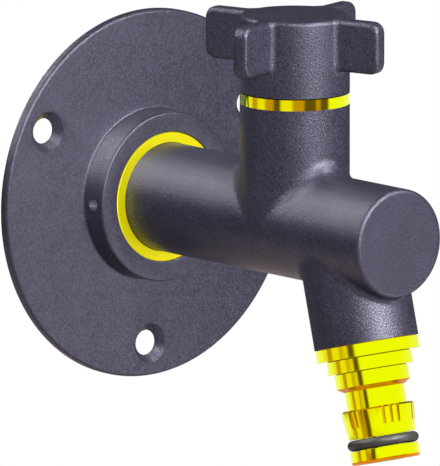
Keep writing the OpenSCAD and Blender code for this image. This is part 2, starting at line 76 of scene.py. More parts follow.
OUTLET_REACH = 0.072
OUTLET_R = 0.0119
OUTLET_TILT = math.radians(15)
OUTLET_DROP = 0.025
END_EDGE = 0.001
NECK_FILLET = 0.0044
OUTLET_FILLET = 0.0018
LEAST_FILLET = 1e-5
BODY_NET = 0.00042
OUTLET_DIR = Vector((0, -math.sin(OUTLET_TILT), -math.cos(OUTLET_TILT)))
OUT_OF_WALL = Matrix.Rotation(math.radians(90), 4, "X")
UP_NECK = Matrix.Translation((0, -NECK_REACH, 0))
DOWN_OUTLET = Matrix.Translation((0, -OUTLET_REACH, 0))
DOWN_OUTLET = DOWN_OUTLET @ Matrix.Rotation(math.pi - OUTLET_TILT, 4, "X")


def new_piece(name, bm, smooth_angle=40):
    mesh = bpy.data.meshes.new(name)
    bm.to_mesh(mesh)
    bm.free()
    mesh.shade_smooth()
    mesh.set_sharp_from_angle(angle=math.radians(smooth_angle))
    piece = bpy.data.objects.new(name, mesh)
    bpy.context.scene.collection.objects.link(piece)
    return piece


def add_rod(bm, place, radius, low, high, sides=128):
    middle = Matrix.Translation((0, 0, (low + high) / 2))
    bmesh.ops.create_cone(bm, cap_ends=True, segments=sides, radius1=radius, radius2=radius,
                          depth=high - low, matrix=place @ middle)


def settle(piece):
    # Keeps the shape that the modifiers give, and drops the modifiers
    shape = piece.evaluated_get(bpy.context.evaluated_depsgraph_get())
    mesh = bpy.data.meshes.new_from_object(shape)
    piece.modifiers.clear()
    old = piece.data
    piece.data = mesh
    bpy.data.meshes.remove(old)


def cut_with(piece, tool, smooth_angle=40, how="DIFFERENCE"):
    # Takes the closed tool out of a piece, or joins it on
    cut = piece.modifiers.new("cut", "BOOLEAN")
    cut.operation = how
    cut.solver = "MANIFOLD"
    cut.object = tool
    settle(piece)
    bpy.data.objects.remove(tool)
    piece.data.shade_smooth()
    piece.data.set_sharp_from_angle(angle=math.radians(smooth_angle))


def bore_out(piece, bores, sides=64, smooth_angle=40):
    # A bore is its place, its radius, and where along the place it starts and ends
    for place, radius, low, high in bores:
        drill = bmesh.new()
        add_rod(drill, place, radius, low, high, sides)
        cut_with(piece, new_piece("drill", drill), smooth_angle)


# Points as near as this count as touching
TOUCH = 1e-6


def trim(bm, point, normal, near=0):
    # Cuts off what lies beyond a plane, and closes the mesh there
    bmesh.ops.bisect_plane(bm, geom=bm.verts[:] + bm.edges[:] + bm.faces[:], plane_co=point,
                           plane_no=normal, clear_outer=True, dist=near)
    bmesh.ops.holes_fill(bm, edges=[e for e in bm.edges if e.is_boundary], sides=0)
    bmesh.ops.recalc_face_normals(bm, faces=bm.faces)


def cut_flat(piece, point, normal):
    bm = bmesh.new()
    bm.from_mesh(piece.data)
    trim(bm, point, normal, TOUCH)
    bm.to_mesh(piece.data)
    bm.free()
    piece.data.shade_smooth()


def skin_over(piece, depth_at, step, rounds=6):
    # A net of even quads is drawn over the rough form, then pulled onto the surface depth_at(p) = 0
    net = piece.modifiers.new("net", "REMESH")
    net.mode = "VOXEL"
    net.voxel_size = step
    settle(piece)
    points = np.empty(len(piece.data.vertices) * 3)
    piece.data.vertices.foreach_get("co", points)
    points = points.reshape(-1, 3)
    probe = 1e-5
    least_slope = 0.2
    for _ in range(rounds):
        depth = depth_at(points)
        slope = np.stack([(depth_at(points + probe * axis) - depth) / probe for axis in np.eye(3)], axis=1)
        slope /= np.maximum(np.linalg.norm(slope, axis=1, keepdims=True), least_slope)
        points -= np.clip(depth, -step, step)[:, None] * slope
    piece.data.vertices.foreach_set("co", points.ravel())
    piece.data.update()
    piece.data.shade_smooth()
    return piece


def poured(a, b, radius):
    # Joins two depths with a hollow fillet of that radius
    inner = np.hypot(np.maximum(radius - a, 0), np.maximum(radius - b, 0))
    return np.maximum(radius, np.minimum(a, b)) - inner


def rounded_off(a, b, radius):
    # What two depths have in common, with its edge rounded to that radius
    outer = np.hypot(np.maximum(a + radius, 0), np.maximum(b + radius, 0))
    return np.minimum(np.maximum(a, b), -radius) + outer


def body_depth(p):
    x, y, z = p.T
    pipe = rounded_off(np.hypot(x, z) - PIPE_R, -y - PIPE_END, END_EDGE)
    neck = np.maximum(np.hypot(x, y + NECK_REACH) - PIPE_R, -z)
    across = y * OUTLET_DIR.z - z * OUTLET_DIR.y + OUTLET_REACH * OUTLET_DIR.z
    along = (y + OUTLET_REACH) * OUTLET_DIR.y + z * OUTLET_DIR.z
    outlet = np.maximum(np.hypot(x, across) - OUTLET_R, -along)
    # The fillets run out at the sides, where the round forms touch flush
    aside = np.minimum(np.abs(x) / PIPE_R, 1)
    upper = poured(pipe, neck, NECK_FILLET * (1 - aside ** 2) + LEAST_FILLET)
    return poured(upper, outlet, OUTLET_FILLET * (1 - aside ** 4) + LEAST_FILLET)


# The rough forms and the bores run past the ends of the piece by this much
SPARE = 0.003
rough = bmesh.new()
add_rod(rough, OUT_OF_WALL, PIPE_R, PIPE_BACK - SPARE, PIPE_END)
add_rod(rough, UP_NECK, PIPE_R, 0, NECK_TOP + SPARE)
add_rod(rough, DOWN_OUTLET, OUTLET_R, 0, OUTLET_DROP + SPARE)
casting = skin_over(new_piece("body_casting", rough), body_depth, BODY_NET)
cut_flat(casting, Vector((0, -PIPE_BACK, 0)), Vector((0, 1, 0)))
cut_flat(casting, Vector((0, 0, NECK_TOP)), Vector((0, 0, 1)))
cut_flat(casting, Vector((0, -OUTLET_REACH, 0)) + OUTLET_DROP * OUTLET_DIR, OUTLET_DIR)

# The waterways, in the order that the water takes
FEED_LINE = OUT_OF_WALL @ Matrix.Translation((0, -0.004, 0))
SPIGOT_BORE = (OUT_OF_WALL, 0.00838, PIPE_BACK - SPARE, 0.0168)
FEED_BORE = (FEED_LINE, 0.0055, 0.0158, 0.0588)
SEAT_BORE = (UP_NECK, 0.005, -0.004, 0.005)
VALVE_CHAMBER = (UP_NECK, 0.010, 0.004, NECK_TOP + SPARE)
BONNET_BORE = (UP_NECK, 0.0105, 0.0172, NECK_TOP + SPARE)
OUTLET_CHAMBER = (OUT_OF_WALL, 0.010, 0.0643, 0.086)
OUTLET_BORE = (DOWN_OUTLET, 0.0065, 0, OUTLET_DROP)
PLUG_SOCKET = (DOWN_OUTLET, 0.00838, 0.014, OUTLET_DROP + SPARE)
GASKET_SEAT = (DOWN_OUTLET, 0.00996, 0.02336, OUTLET_DROP + SPARE)
bore_out(casting, [SPIGOT_BORE, FEED_BORE, SEAT_BORE, VALVE_CHAMBER, BONNET_BORE, OUTLET_CHAMBER,
                   OUTLET_BORE, PLUG_SOCKET, GASKET_SEAT])
# The passage over the web between valve chamber and outlet chamber
PASSAGE_R = 0.0104
PASSAGE_END = 0.0650
WEB_TOP = 0.004
passage = bmesh.new()
add_rod(passage, OUT_OF_WALL, PASSAGE_R, NECK_REACH, PASSAGE_END, 64)
trim(passage, (0, 0, WEB_TOP), (0, 0, -1))
cut_with(casting, new_piece("drill", passage))


def node_maker(material):
    # make("kind", To_Min=1) sets the socket "To Min", or else the property of that name
    tree = material.node_tree

    def make(kind, **values):
        node = tree.nodes.new(kind)
        for name, value in values.items():
            socket = name.replace("_", " ")
            if socket in node.inputs:
                node.inputs[socket].default_value = value
            else:
                setattr(node, name, value)
        return node
    return make, tree.links.new


def new_material(name, **values):
    material = bpy.data.materials.new(name)
    material.use_nodes = True
    shader = material.node_tree.nodes["Principled BSDF"]
    for socket, value in values.items():
        shader.inputs[socket.replace("_", " ")].default_value = value
    make, link = node_maker(material)
    coords = make("ShaderNodeTexCoord").outputs["Object"]
    return material, shader, make, link, coords


def finish_with(piece, material):
    piece.data.materials.clear()
    piece.data.materials.append(material)


# Powder coat: dark violet-grey with a grain of under half a millimetre and faint cloudiness
COAT_DARK = (0.0062, 0.0059, 0.0100, 1)
COAT_LIGHT = (0.0320, 0.0302, 0.0486, 1)
COAT_TINT = (0.82, 0.79, 1.0, 1)
GRAIN_DEPTH = 0.00024
coat, shader, make, link, coords = new_material("graphite_powder_coat", Specular_IOR_Level=0.5,
                                                Specular_Tint=COAT_TINT)
grain = make("ShaderNodeTexNoise", Scale=2200.0, Detail=3.0, Roughness=0.62)
cloud = make("ShaderNodeTexNoise", Scale=160.0, Detail=2.0)
blend = make("ShaderNodeMix", data_type="FLOAT", Factor=0.12)
tone = make("ShaderNodeValToRGB")
tone.color_ramp.elements[0].position = 0.36
tone.color_ramp.elements[0].color = COAT_DARK
tone.color_ramp.elements[1].position = 0.67
tone.color_ramp.elements[1].color = COAT_LIGHT
sheen = make("ShaderNodeMapRange", From_Min=0.3, From_Max=0.7, To_Min=0.38, To_Max=0.28)
bumps = make("ShaderNodeBump", Strength=0.4, Distance=GRAIN_DEPTH)
link(coords, grain.inputs["Vector"])
link(coords, cloud.inputs["Vector"])
link(grain.outputs["Fac"], blend.inputs["A"])
link(cloud.outputs["Fac"], blend.inputs["B"])
link(blend.outputs["Result"], tone.inputs["Fac"])
link(tone.outputs["Color"], shader.inputs["Base Color"])
link(grain.outputs["Fac"], sheen.inputs["Value"])
link(sheen.outputs["Result"], shader.inputs["Roughness"])
link(grain.outputs["Fac"], bumps.inputs["Height"])
link(bumps.outputs["Normal"], shader.inputs["Normal"])
finish_with(casting, coat)
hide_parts("tap_body")
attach(casting, "tap")

# Wall rosette
# A turned plate with a boss that slides over the inlet nipple's collar, coated like the body. Its
# three countersunk holes take the wall screws, and a grub screw in the boss's side pins it.
ROSETTE_R = 0.0425
PLATE_T = 0.002
PLATE_EDGE = 0.0008
BOSS_R = 0.0196
BOSS_REACH = -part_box("wall_rosette")[0][1]
BOSS_EDGE = 0.0006
ROSETTE_BORE = 0.0150
BORE_EDGE = 0.00025
SCREW_CIRCLE = 0.035
SCREW_HOLE = 0.0029
SCREW_LAND = 0.0003
SCREW_DRILL_END = 0.0015
SINK = PLATE_T - SCREW_LAND
GRUB_REACH = (PLATE_T + BOSS_REACH) / 2
GRUB_HOLE_R = 0.0015
GRUB_DRILL_START = 0.012
# A drill runs past the face that it opens by this much
PAST = 0.001


def add_arc(points, centre, radius, start, end, steps=6):
    for i in range(steps + 1):
        a = math.radians(start + (end - start) * i / steps)
        points.append((centre[0] + radius * math.cos(a), centre[1] + radius * math.sin(a)))


def turn(name, points, place, closed=True, steps=192, smooth_angle=40):
    # Turns a half section, given as (radius, height) pairs, into a closed ring or solid
    bm = bmesh.new()
    corners = [bm.verts.new((r, 0, h)) for r, h in points]
    rim = list(zip(corners, corners[1:]))
    if closed:
        rim.append((corners[-1], corners[0]))
    edges = [bm.edges.new(pair) for pair in rim]
    bmesh.ops.spin(bm, geom=corners + edges, axis=(0, 0, 1), cent=(0, 0, 0), dvec=(0, 0, 0),
                   angle=2 * math.pi, steps=steps, use_merge=True)
    bmesh.ops.remove_doubles(bm, verts=bm.verts, dist=1e-7)
    bmesh.ops.recalc_face_normals(bm, faces=bm.faces)
    bmesh.ops.transform(bm, matrix=place, verts=bm.verts)
    return new_piece(name, bm, smooth_angle)


section = [(ROSETTE_BORE, 0), (ROSETTE_R, 0)]
add_arc(section, (ROSETTE_R - PLATE_EDGE, PLATE_T - PLATE_EDGE), PLATE_EDGE, 0, 90)
add_arc(section, (BOSS_R + BOSS_EDGE, PLATE_T + BOSS_EDGE), BOSS_EDGE, 270, 180)
add_arc(section, (BOSS_R - BOSS_EDGE, BOSS_REACH - BOSS_EDGE), BOSS_EDGE, 0, 90)
add_arc(section, (ROSETTE_BORE + BORE_EDGE, BOSS_REACH - BORE_EDGE), BORE_EDGE, 90, 180, 3)
rosette = turn("rosette_plate", section, OUT_OF_WALL)
for i in range(3):
    spot = OUT_OF_WALL @ Matrix.Rotation(math.radians(-90 + 120 * i), 4, "Z")
    spot = spot @ Matrix.Translation((SCREW_CIRCLE, 0, 0))
    bore_out(rosette, [(spot, SCREW_HOLE, -PAST, SCREW_DRILL_END)])
    # The countersink's tool is twice as deep as the sink, so that it runs past the plate's face
    drill = bmesh.new()
    bmesh.ops.create_cone(drill, cap_ends=True, segments=64, radius1=SCREW_HOLE,
                          radius2=SCREW_HOLE + 2 * SINK, depth=2 * SINK,
                          matrix=spot @ Matrix.Translation((0, 0, SCREW_LAND + SINK)))
    cut_with(rosette, new_piece("drill", drill))
grub_line = OUT_OF_WALL @ Matrix.Translation((0, 0, GRUB_REACH))
grub_line = grub_line @ Matrix.Rotation(math.radians(-90), 4, "Y")
bore_out(rosette, [(grub_line, GRUB_HOLE_R, GRUB_DRILL_START, BOSS_R + PAST)], sides=48)
finish_with(rosette, coat)
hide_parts("wall_rosette")
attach(rosette, "tap")

# Handle
# A cast hub with four upright fins, coated like the body. It sits on the spindle's spline, and a
# grub screw between two fins clamps it. The fins' roots have small fillets, and below are the
# well that clears the bonnet and the socket for the spindle.
HUB_R = PIPE_R
HUB_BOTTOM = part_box("handle")[0][2]
HUB_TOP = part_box("handle")[1][2]
HUB_EDGE = 0.0010
ARM_L = 0.0237
ARM_HALF = 0.00185
ARM_H = 0.012
ARM_CORNER = 0.003
ARM_EDGE = 0.0012
ARM_TURN = math.radians(17)
ROOT_FILLET = 0.0012
HANDLE_NET = 0.00032
WELL_R = 0.0078
WELL_TOP = 0.0346
SPINDLE_SOCKET_R = 0.00405
SPINDLE_SOCKET_TOP = 0.04395
CLAMP_HEIGHT = 0.039025
CLAMP_HOLE_R = 0.002


def bar_depth(u, v, length, half, corner):
    # A flat bar from the origin out along u, with rounded corners at its far end
    du = u - length + corner
    dv = np.abs(v) - half + corner
    return np.minimum(np.maximum(du, dv), 0) + np.hypot(np.maximum(du, 0), np.maximum(dv, 0)) - corner


def handle_depth(p):
    x, y, z = p[:, 0], p[:, 1] + NECK_REACH, p[:, 2]
    hub = rounded_off(np.hypot(x, y) - HUB_R, z - HUB_TOP, HUB_EDGE)
    arms = np.full(len(x), 1.0)
    for i in range(4):
        a = ARM_TURN + i * math.pi / 2
        u = x * math.cos(a) + y * math.sin(a)
        v = y * math.cos(a) - x * math.sin(a)
        plan = bar_depth(u, v, ARM_L, ARM_HALF, ARM_EDGE)
        side = bar_depth(u, z - HUB_TOP + ARM_H / 2, ARM_L, ARM_H / 2, ARM_CORNER)
        arm = np.maximum(rounded_off(plan, side, ARM_EDGE), -u)
        arms = np.minimum(arms, arm)
    return np.maximum(poured(hub, arms, ROOT_FILLET), z - HUB_TOP)


rough = bmesh.new()
add_rod(rough, UP_NECK, HUB_R, HUB_BOTTOM - SPARE, HUB_TOP)
for i in range(4):
    place = UP_NECK @ Matrix.Rotation(ARM_TURN + i * math.pi / 2, 4, "Z")
    place = place @ Matrix.Translation((ARM_L / 2, 0, HUB_TOP - ARM_H / 2))
    place = place @ Matrix.Diagonal((ARM_L, 2 * ARM_HALF, ARM_H, 1))
    bmesh.ops.create_cube(rough, size=1, matrix=place)
handle = skin_over(new_piece("handle_cross", rough), handle_depth, HANDLE_NET)
cut_flat(handle, Vector((0, 0, HUB_BOTTOM)), Vector((0, 0, -1)))
clamp_line = UP_NECK @ Matrix.Translation((0, 0, CLAMP_HEIGHT))
clamp_line = clamp_line @ Matrix.Rotation(ARM_TURN + math.radians(45), 4, "Z")
clamp_line = clamp_line @ Matrix.Rotation(math.radians(90), 4, "Y")
bore_out(handle, [(UP_NECK, WELL_R, HUB_BOTTOM - SPARE, WELL_TOP),
                  (UP_NECK, SPINDLE_SOCKET_R, WELL_TOP - PAST, SPINDLE_SOCKET_TOP),
                  (clamp_line, CLAMP_HOLE_R, 0, HUB_R + PAST)])
finish_with(handle, coat)
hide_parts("handle")
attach(handle, "handle")

# Bonnet
# A turned and polished brass sleeve, screwed into the neck to hold the valve. Its rim shows as a
# bright ring under the handle. The CAD node is shown as it is.
BRASS = (0.78, 0.95, 0.0, 1)


def uneven_finish(name, scale, roughness, detail=2.0, **values):
    # The roughness drifts between two levels in patches of about 1 / scale
    material, shader, make, link, coords = new_material(name, **values)
    patches = make("ShaderNodeTexNoise", Scale=scale, Detail=detail)
    drift = make("ShaderNodeMapRange", To_Min=roughness[0], To_Max=roughness[1])
    link(coords, patches.inputs["Vector"])
    link(patches.outputs["Fac"], drift.inputs["Value"])
    link(drift.outputs["Result"], shader.inputs["Roughness"])
    return material


brass = uneven_finish("polished_brass", 90.0, (0.05, 0.13), Base_Color=BRASS, Metallic=1.0)
finish_with(frame["nodes"]["bonnet"], brass)

# Inlet nipple
# Turned brass with a satin collar that the rosette slides over, and a spigot that the body is
# screwed onto, with a groove for its ring. Behind the wall a half-inch pipe thread screws into the
# supply, cut on the lathe and run out into a relief.
SATIN = (1.0, 0.96, 0.0, 1)
THREAD_L = 0.015
THREAD_R = 0.0104775
THREAD_ROOT_R = 0.0093155
THREAD_PITCH = 0.001814
THREAD_STEPS = 96
CREST_ROUND = 0.00008
THREAD_RELIEF = 0.0014
THREAD_RELIEF_R = THREAD_ROOT_R - 0.0001
LEAD_IN = 0.0010
LEAD_PAST = 0.0005
LEAD_LOW_R = THREAD_ROOT_R - 0.0002
LEAD_HIGH_R = THREAD_R + 0.0003
BORE_R = 0.006
COLLAR_R = 0.01495
COLLAR_END = 0.0083
COLLAR_EDGE = 0.0002
COLLAR_GROOVE_R = 0.01356
COLLAR_GROOVE = (0.00115, 0.00285)
PIPE_SOCKET_R = 0.01255
PIPE_SOCKET_FLOOR = 0.0033
SOCKET_EDGE = 0.0001
SPIGOT_R = 0.0083
SPIGOT_END = 0.0153
SPIGOT_EDGE = 0.0005
SPIGOT_GROOVE_R = 0.00702
SPIGOT_GROOVE = (0.0125, 0.0141)
thread = bmesh.new()
# One tooth: its radius, and how far along the pitch
tooth = [(THREAD_ROOT_R, 0), (THREAD_ROOT_R, 0.06), (THREAD_R - CREST_ROUND, 0.44), (THREAD_R, 0.48),
         (THREAD_R, 0.58), (THREAD_R - CREST_ROUND, 0.62), (THREAD_ROOT_R, 1)]
chain = [thread.verts.new((r, 0, -THREAD_L + (h - 1.5) * THREAD_PITCH)) for r, h in tooth]
links = [thread.edges.new(pair) for pair in zip(chain, chain[1:])]
turns = math.ceil(THREAD_L / THREAD_PITCH) + 2
bmesh.ops.spin(thread, geom=chain + links, axis=(0, 0, 1), cent=(0, 0, 0), angle=2 * math.pi * turns,
               dvec=(0, 0, THREAD_PITCH / THREAD_STEPS), steps=THREAD_STEPS * turns)
bmesh.ops.remove_doubles(thread, verts=thread.verts, dist=TOUCH)
trim(thread, (0, 0, -THREAD_L), (0, 0, -1))
trim(thread, (0, 0, -THREAD_RELIEF), (0, 0, 1))
bmesh.ops.transform(thread, matrix=OUT_OF_WALL, verts=thread.verts)
nipple = new_piece("turned_nipple", thread, 25)
# The collar and spigot start a little way inside the thread, so that the two join
JOIN = -THREAD_RELIEF - 0.0004
section = [
    (0, JOIN), (THREAD_RELIEF_R, JOIN), (THREAD_RELIEF_R, 0),
    (COLLAR_R - COLLAR_EDGE, 0), (COLLAR_R, COLLAR_EDGE),
    (COLLAR_R, COLLAR_GROOVE[0]), (COLLAR_GROOVE_R, COLLAR_GROOVE[0]),
    (COLLAR_GROOVE_R, COLLAR_GROOVE[1]), (COLLAR_R, COLLAR_GROOVE[1]),
    (COLLAR_R, COLLAR_END - COLLAR_EDGE), (COLLAR_R - COLLAR_EDGE, COLLAR_END),
    (PIPE_SOCKET_R + SOCKET_EDGE, COLLAR_END), (PIPE_SOCKET_R, COLLAR_END - SOCKET_EDGE),
    (PIPE_SOCKET_R, PIPE_SOCKET_FLOOR), (SPIGOT_R, PIPE_SOCKET_FLOOR),
    (SPIGOT_R, SPIGOT_GROOVE[0]), (SPIGOT_GROOVE_R, SPIGOT_GROOVE[0]),
    (SPIGOT_GROOVE_R, SPIGOT_GROOVE[1]), (SPIGOT_R, SPIGOT_GROOVE[1]),
    (SPIGOT_R, SPIGOT_END - SPIGOT_EDGE), (SPIGOT_R - SPIGOT_EDGE, SPIGOT_END), (0, SPIGOT_END),
]
collar_and_spigot = turn("collar_and_spigot", section, OUT_OF_WALL, closed=False, steps=128)
cut_with(nipple, collar_and_spigot, 25, "UNION")
lead = [(LEAD_LOW_R, -THREAD_L - LEAD_PAST), (LEAD_HIGH_R, -THREAD_L + LEAD_IN),
        (THREAD_R + PAST, -THREAD_L + LEAD_IN), (THREAD_R + PAST, -THREAD_L - LEAD_PAST)]
cut_with(nipple, turn("lead_in", lead, OUT_OF_WALL, steps=96), 25)
bore_out(nipple, [(OUT_OF_WALL, BORE_R, -THREAD_L - PAST, SPIGOT_END + PAST)], sides=96,
         smooth_angle=25)
satin_brass = uneven_finish("satin_brass", 1400.0, (0.45, 0.55), Base_Color=SATIN, Metallic=0.55)
finish_with(nipple, satin_brass)
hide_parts("inlet_nipple")
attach(nipple, "tap")

# Hose plug
# A turned brass plug, screwed into the outlet: flange, two steps, the latch groove that a hose
# connector snaps into, a catch with milled notches, and a tip with the O-ring's groove. The edges
# are broken by a hair, as off the lathe.
PLUG_R = 0.0119
STEP_R = 0.0098
SHOULDER_R = 0.0085
LATCH_R = 0.00685
CATCH_R = 0.00835
CATCH_LEAD_R = 0.00795
CATCH_LOW_R = 0.0077
RING_FLOOR_R = 0.00573
TIP_R = 0.0079
TIP_BORE_R = 0.00475
POCKET_R = 0.0065
PLUG_SCREW_R = 0.0083
SCREW_EDGE = 0.0005
BREAK = 0.00004
PLUG_START = 0.015
POCKET_END = 0.0245
FLANGE_END = OUTLET_DROP + 0.003
STEP_END = FLANGE_END + 0.0031
SHOULDER_END = STEP_END + 0.0034
SLOPE_END = SHOULDER_END + 0.001
CATCH_START = SLOPE_END + 0.0042
CATCH_LEAD = 0.0004
CATCH_END = CATCH_START + 0.0066
TIP_START = CATCH_END + 0.0027
TIP_END = TIP_START + 0.0031
TIP_ROUND = 0.0007
TIP_END_R = 0.0055
NOTCH_FLOOR_R = 0.00765
NOTCH_END = CATCH_START + 0.0041
NOTCH_WALL = 0.00007
STEP_ANGLE = 0.5
# Where the notches stand round the plug, in degrees: six groups of three
GROUP_START = 49
GROUP_APART = 60
NOTCH_APART = 12.5
NOTCH_HALF = 2.5
GROOVE_DEPTH = 0.0005
GROOVE_WIDTH = 0.0002
GROOVED_STEPS = [(OUTLET_DROP, PLUG_R), (FLANGE_END, STEP_R), (STEP_END, SHOULDER_R)]
catch_slope = (CATCH_R - CATCH_LOW_R) / (CATCH_END - CATCH_START - CATCH_LEAD)
notch_end_r = CATCH_R - catch_slope * (NOTCH_END - CATCH_START - CATCH_LEAD)


def grooved(height, radius):
    # A step starts with the narrow groove that the parting tool leaves in its corner
    floor_r = radius - GROOVE_DEPTH
    return [(floor_r, height), (floor_r, height + GROOVE_WIDTH), (radius, height + GROOVE_WIDTH)]


section = [
    (POCKET_R, PLUG_START), (PLUG_SCREW_R - SCREW_EDGE, PLUG_START),
    (PLUG_SCREW_R, PLUG_START + SCREW_EDGE), (PLUG_SCREW_R, OUTLET_DROP),
    *grooved(*GROOVED_STEPS[0]), (PLUG_R, FLANGE_END - BREAK), (PLUG_R - BREAK, FLANGE_END),
    *grooved(*GROOVED_STEPS[1]), (STEP_R, STEP_END - BREAK), (STEP_R - BREAK, STEP_END),
    *grooved(*GROOVED_STEPS[2]), (SHOULDER_R, SHOULDER_END), (LATCH_R, SLOPE_END),
    (LATCH_R, CATCH_START), (CATCH_LEAD_R, CATCH_START), (CATCH_R, CATCH_START + CATCH_LEAD),
    (notch_end_r, NOTCH_END - NOTCH_WALL), (notch_end_r, NOTCH_END),
    (CATCH_LOW_R, CATCH_END - BREAK), (CATCH_LOW_R - BREAK, CATCH_END), (RING_FLOOR_R, CATCH_END),
    (RING_FLOOR_R, TIP_START), (TIP_R - BREAK, TIP_START), (TIP_R, TIP_START + BREAK),
]
add_arc(section, (TIP_R - TIP_ROUND, TIP_END - TIP_ROUND), TIP_ROUND, 0, 90, 5)
section += [(TIP_BORE_R + BREAK, TIP_END), (TIP_BORE_R, TIP_END - BREAK), (TIP_BORE_R, POCKET_END),
            (POCKET_R, POCKET_END)]
plug = turn("plug_nipple", section, Matrix.Identity(4), steps=round(360 / STEP_ANGLE), smooth_angle=30)


def in_notch(angle):
    from_group = (angle - GROUP_START + GROUP_APART / 2) % GROUP_APART - GROUP_APART / 2
    return any(abs(from_group - NOTCH_APART * i) < NOTCH_HALF - STEP_ANGLE / 2 for i in (-1, 0, 1))


# The notches are milled: the net's points there are set back to the notch floor
for v in plug.data.vertices:
    out = math.hypot(v.co.x, v.co.y)
    cut_here = CATCH_START - TOUCH < v.co.z < NOTCH_END - NOTCH_WALL / 2 and out > NOTCH_FLOOR_R
    if cut_here and in_notch(math.degrees(math.atan2(v.co.y, v.co.x))):
        v.co.x *= NOTCH_FLOOR_R / out
        v.co.y *= NOTCH_FLOOR_R / out
plug.data.transform(DOWN_OUTLET)
plug.data.shade_smooth()
plug.data.set_sharp_from_angle(angle=math.radians(30))
finish_with(plug, brass)
# The notches are milled and duller, and their floors are also coloured darker and redder as painted
# shade in the recesses. The latch slope and the tip's round are coloured redder as a painted
# reflection of what lies below them, and the grooves are coloured dark as painted shade
# Painted shade on a real milled finish: the darker, redder colour of the notch floors
MILLED_AND_SHADED = (0.82, 0.60, 0.01, 1)
# A painted reflection: the redder colour of the latch slope and the tip's round
PAINTED_REFLECTION = (1.0, 0.40, 0.0, 1)
# Painted shade: the dark colour inside the steps' narrow grooves
PAINTED_GROOVE_SHADE = (0.46, 0.30, 0.01, 1)
milled_and_shaded = uneven_finish("milled_brass_painted_shade", 2500.0, (0.35, 0.55), Base_Color=MILLED_AND_SHADED, Metallic=1.0)
painted_reflection = uneven_finish("brass_painted_reflection", 1200.0, (0.22, 0.38), Base_Color=PAINTED_REFLECTION, Metallic=1.0)
painted_groove_shade = uneven_finish("brass_painted_groove_shade", 2500.0, (0.35, 0.55), Base_Color=PAINTED_GROOVE_SHADE, Metallic=1.0)
for finish in (milled_and_shaded, painted_reflection, painted_groove_shade):
    plug.data.materials.append(finish)
to_plug = DOWN_OUTLET.inverted()
# Painted shade goes on the notch floors and in the grooves, and a painted reflection on the latch slope
# and the tip's round
for face in plug.data.polygons:
    centre = to_plug @ face.center
    out = math.hypot(centre.x, centre.y)
    corners = [to_plug @ plug.data.vertices[i].co for i in face.vertices]
    on_floor = sum(math.hypot(corner.x, corner.y) < NOTCH_FLOOR_R + TOUCH for corner in corners)
    if CATCH_START + 10 * TOUCH < centre.z < NOTCH_END and on_floor > 1:
        face.material_index = plug.data.materials.find("milled_brass_painted_shade")
    elif SHOULDER_END < centre.z < SLOPE_END or (centre.z > TIP_END - TIP_ROUND and out > TIP_END_R):
        face.material_index = plug.data.materials.find("brass_painted_reflection")
    elif any(low < centre.z < low + GROOVE_WIDTH and out < r - BREAK for low, r in GROOVED_STEPS):
        face.material_index = plug.data.materials.find("brass_painted_groove_shade")
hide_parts("hose_plug")
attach(plug, "tap")

# Seals
# Rings and washers of black nitrile rubber with a soft shine, squeezed in grooves between the
# pieces. Only the plug's O-ring shows, in the groove near its tip, and it is modelled finer.
SEAL_R = 0.00815
SEAL_HALF = 0.0012
RUBBER = (0.0260, 0.0260, 0.0235, 1)
circle = []
add_arc(circle, (SEAL_R - SEAL_HALF, (CATCH_END + TIP_START) / 2), SEAL_HALF, 0, 350, 35)
o_ring = turn("plug_seal_ring", circle, DOWN_OUTLET, steps=288)
rubber = uneven_finish("nitrile_rubber", 500.0, (0.36, 0.42), Base_Color=RUBBER, Specular_IOR_Level=0.4)
finish_with(o_ring, rubber)
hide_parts("plug_o_ring")
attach(o_ring, "tap")
for node in ("rosette_o_ring", "nipple_o_ring", "bonnet_o_ring", "seat_seal", "spindle_o_rings",
             "plug_gasket", "check_o_ring", "check_poppet_seal"):
    finish_with(frame["nodes"][node], rubber)

# Screws, clip and spindle
# The grub screws, and the clip that keeps the spindle in the bonnet, are bright steel. The spindle
# is turned brass, and its tongue drives the upper valve disc.
STEEL = (0.82, 0.82, 0.85, 1)
steel = uneven_finish("bright_steel", 1500.0, (0.14, 0.32), detail=3.0, Base_Color=STEEL, Metallic=1.0)
for node in ("rosette_grub_screw", "handle_grub_screw", "spindle_circlip"):
    finish_with(frame["nodes"][node], steel)
finish_with(frame["nodes"]["spindle"], brass)

# Valve discs, washer and check valve
# Two lapped ceramic discs under the spindle open and close the water's way. The thrust washer and
# the check valve's housing and poppet are white acetal plastic, pushed into place.
CERAMIC_DARK = (0.80, 0.78, 0.72, 1)
CERAMIC_LIGHT = (0.88, 0.87, 0.83, 1)
PLASTIC_DARK = (0.72, 0.71, 0.67, 1)
PLASTIC_LIGHT = (0.80, 0.79, 0.75, 1)


def speckled(name, dark, light, roughness, size):
    material, shader, make, link, coords = new_material(name, Roughness=roughness)
    fleck = make("ShaderNodeTexNoise", Scale=1 / size, Detail=2.0)
    tone = make("ShaderNodeValToRGB")
    tone.color_ramp.elements[0].color = dark
    tone.color_ramp.elements[1].color = light
    link(coords, fleck.inputs["Vector"])
    link(fleck.outputs["Fac"], tone.inputs["Fac"])
    link(tone.outputs["Color"], shader.inputs["Base Color"])
    return material


ceramic = speckled("lapped_ceramic", CERAMIC_DARK, CERAMIC_LIGHT, 0.12, 0.002)
plastic = speckled("acetal_plastic", PLASTIC_DARK, PLASTIC_LIGHT, 0.38, 0.0015)
for node in ("fixed_disc", "rotating_disc"):
    finish_with(frame["nodes"][node], ceramic)
for node in ("thrust_washer", "check_housing", "check_poppet"):
    finish_with(frame["nodes"][node], plastic)
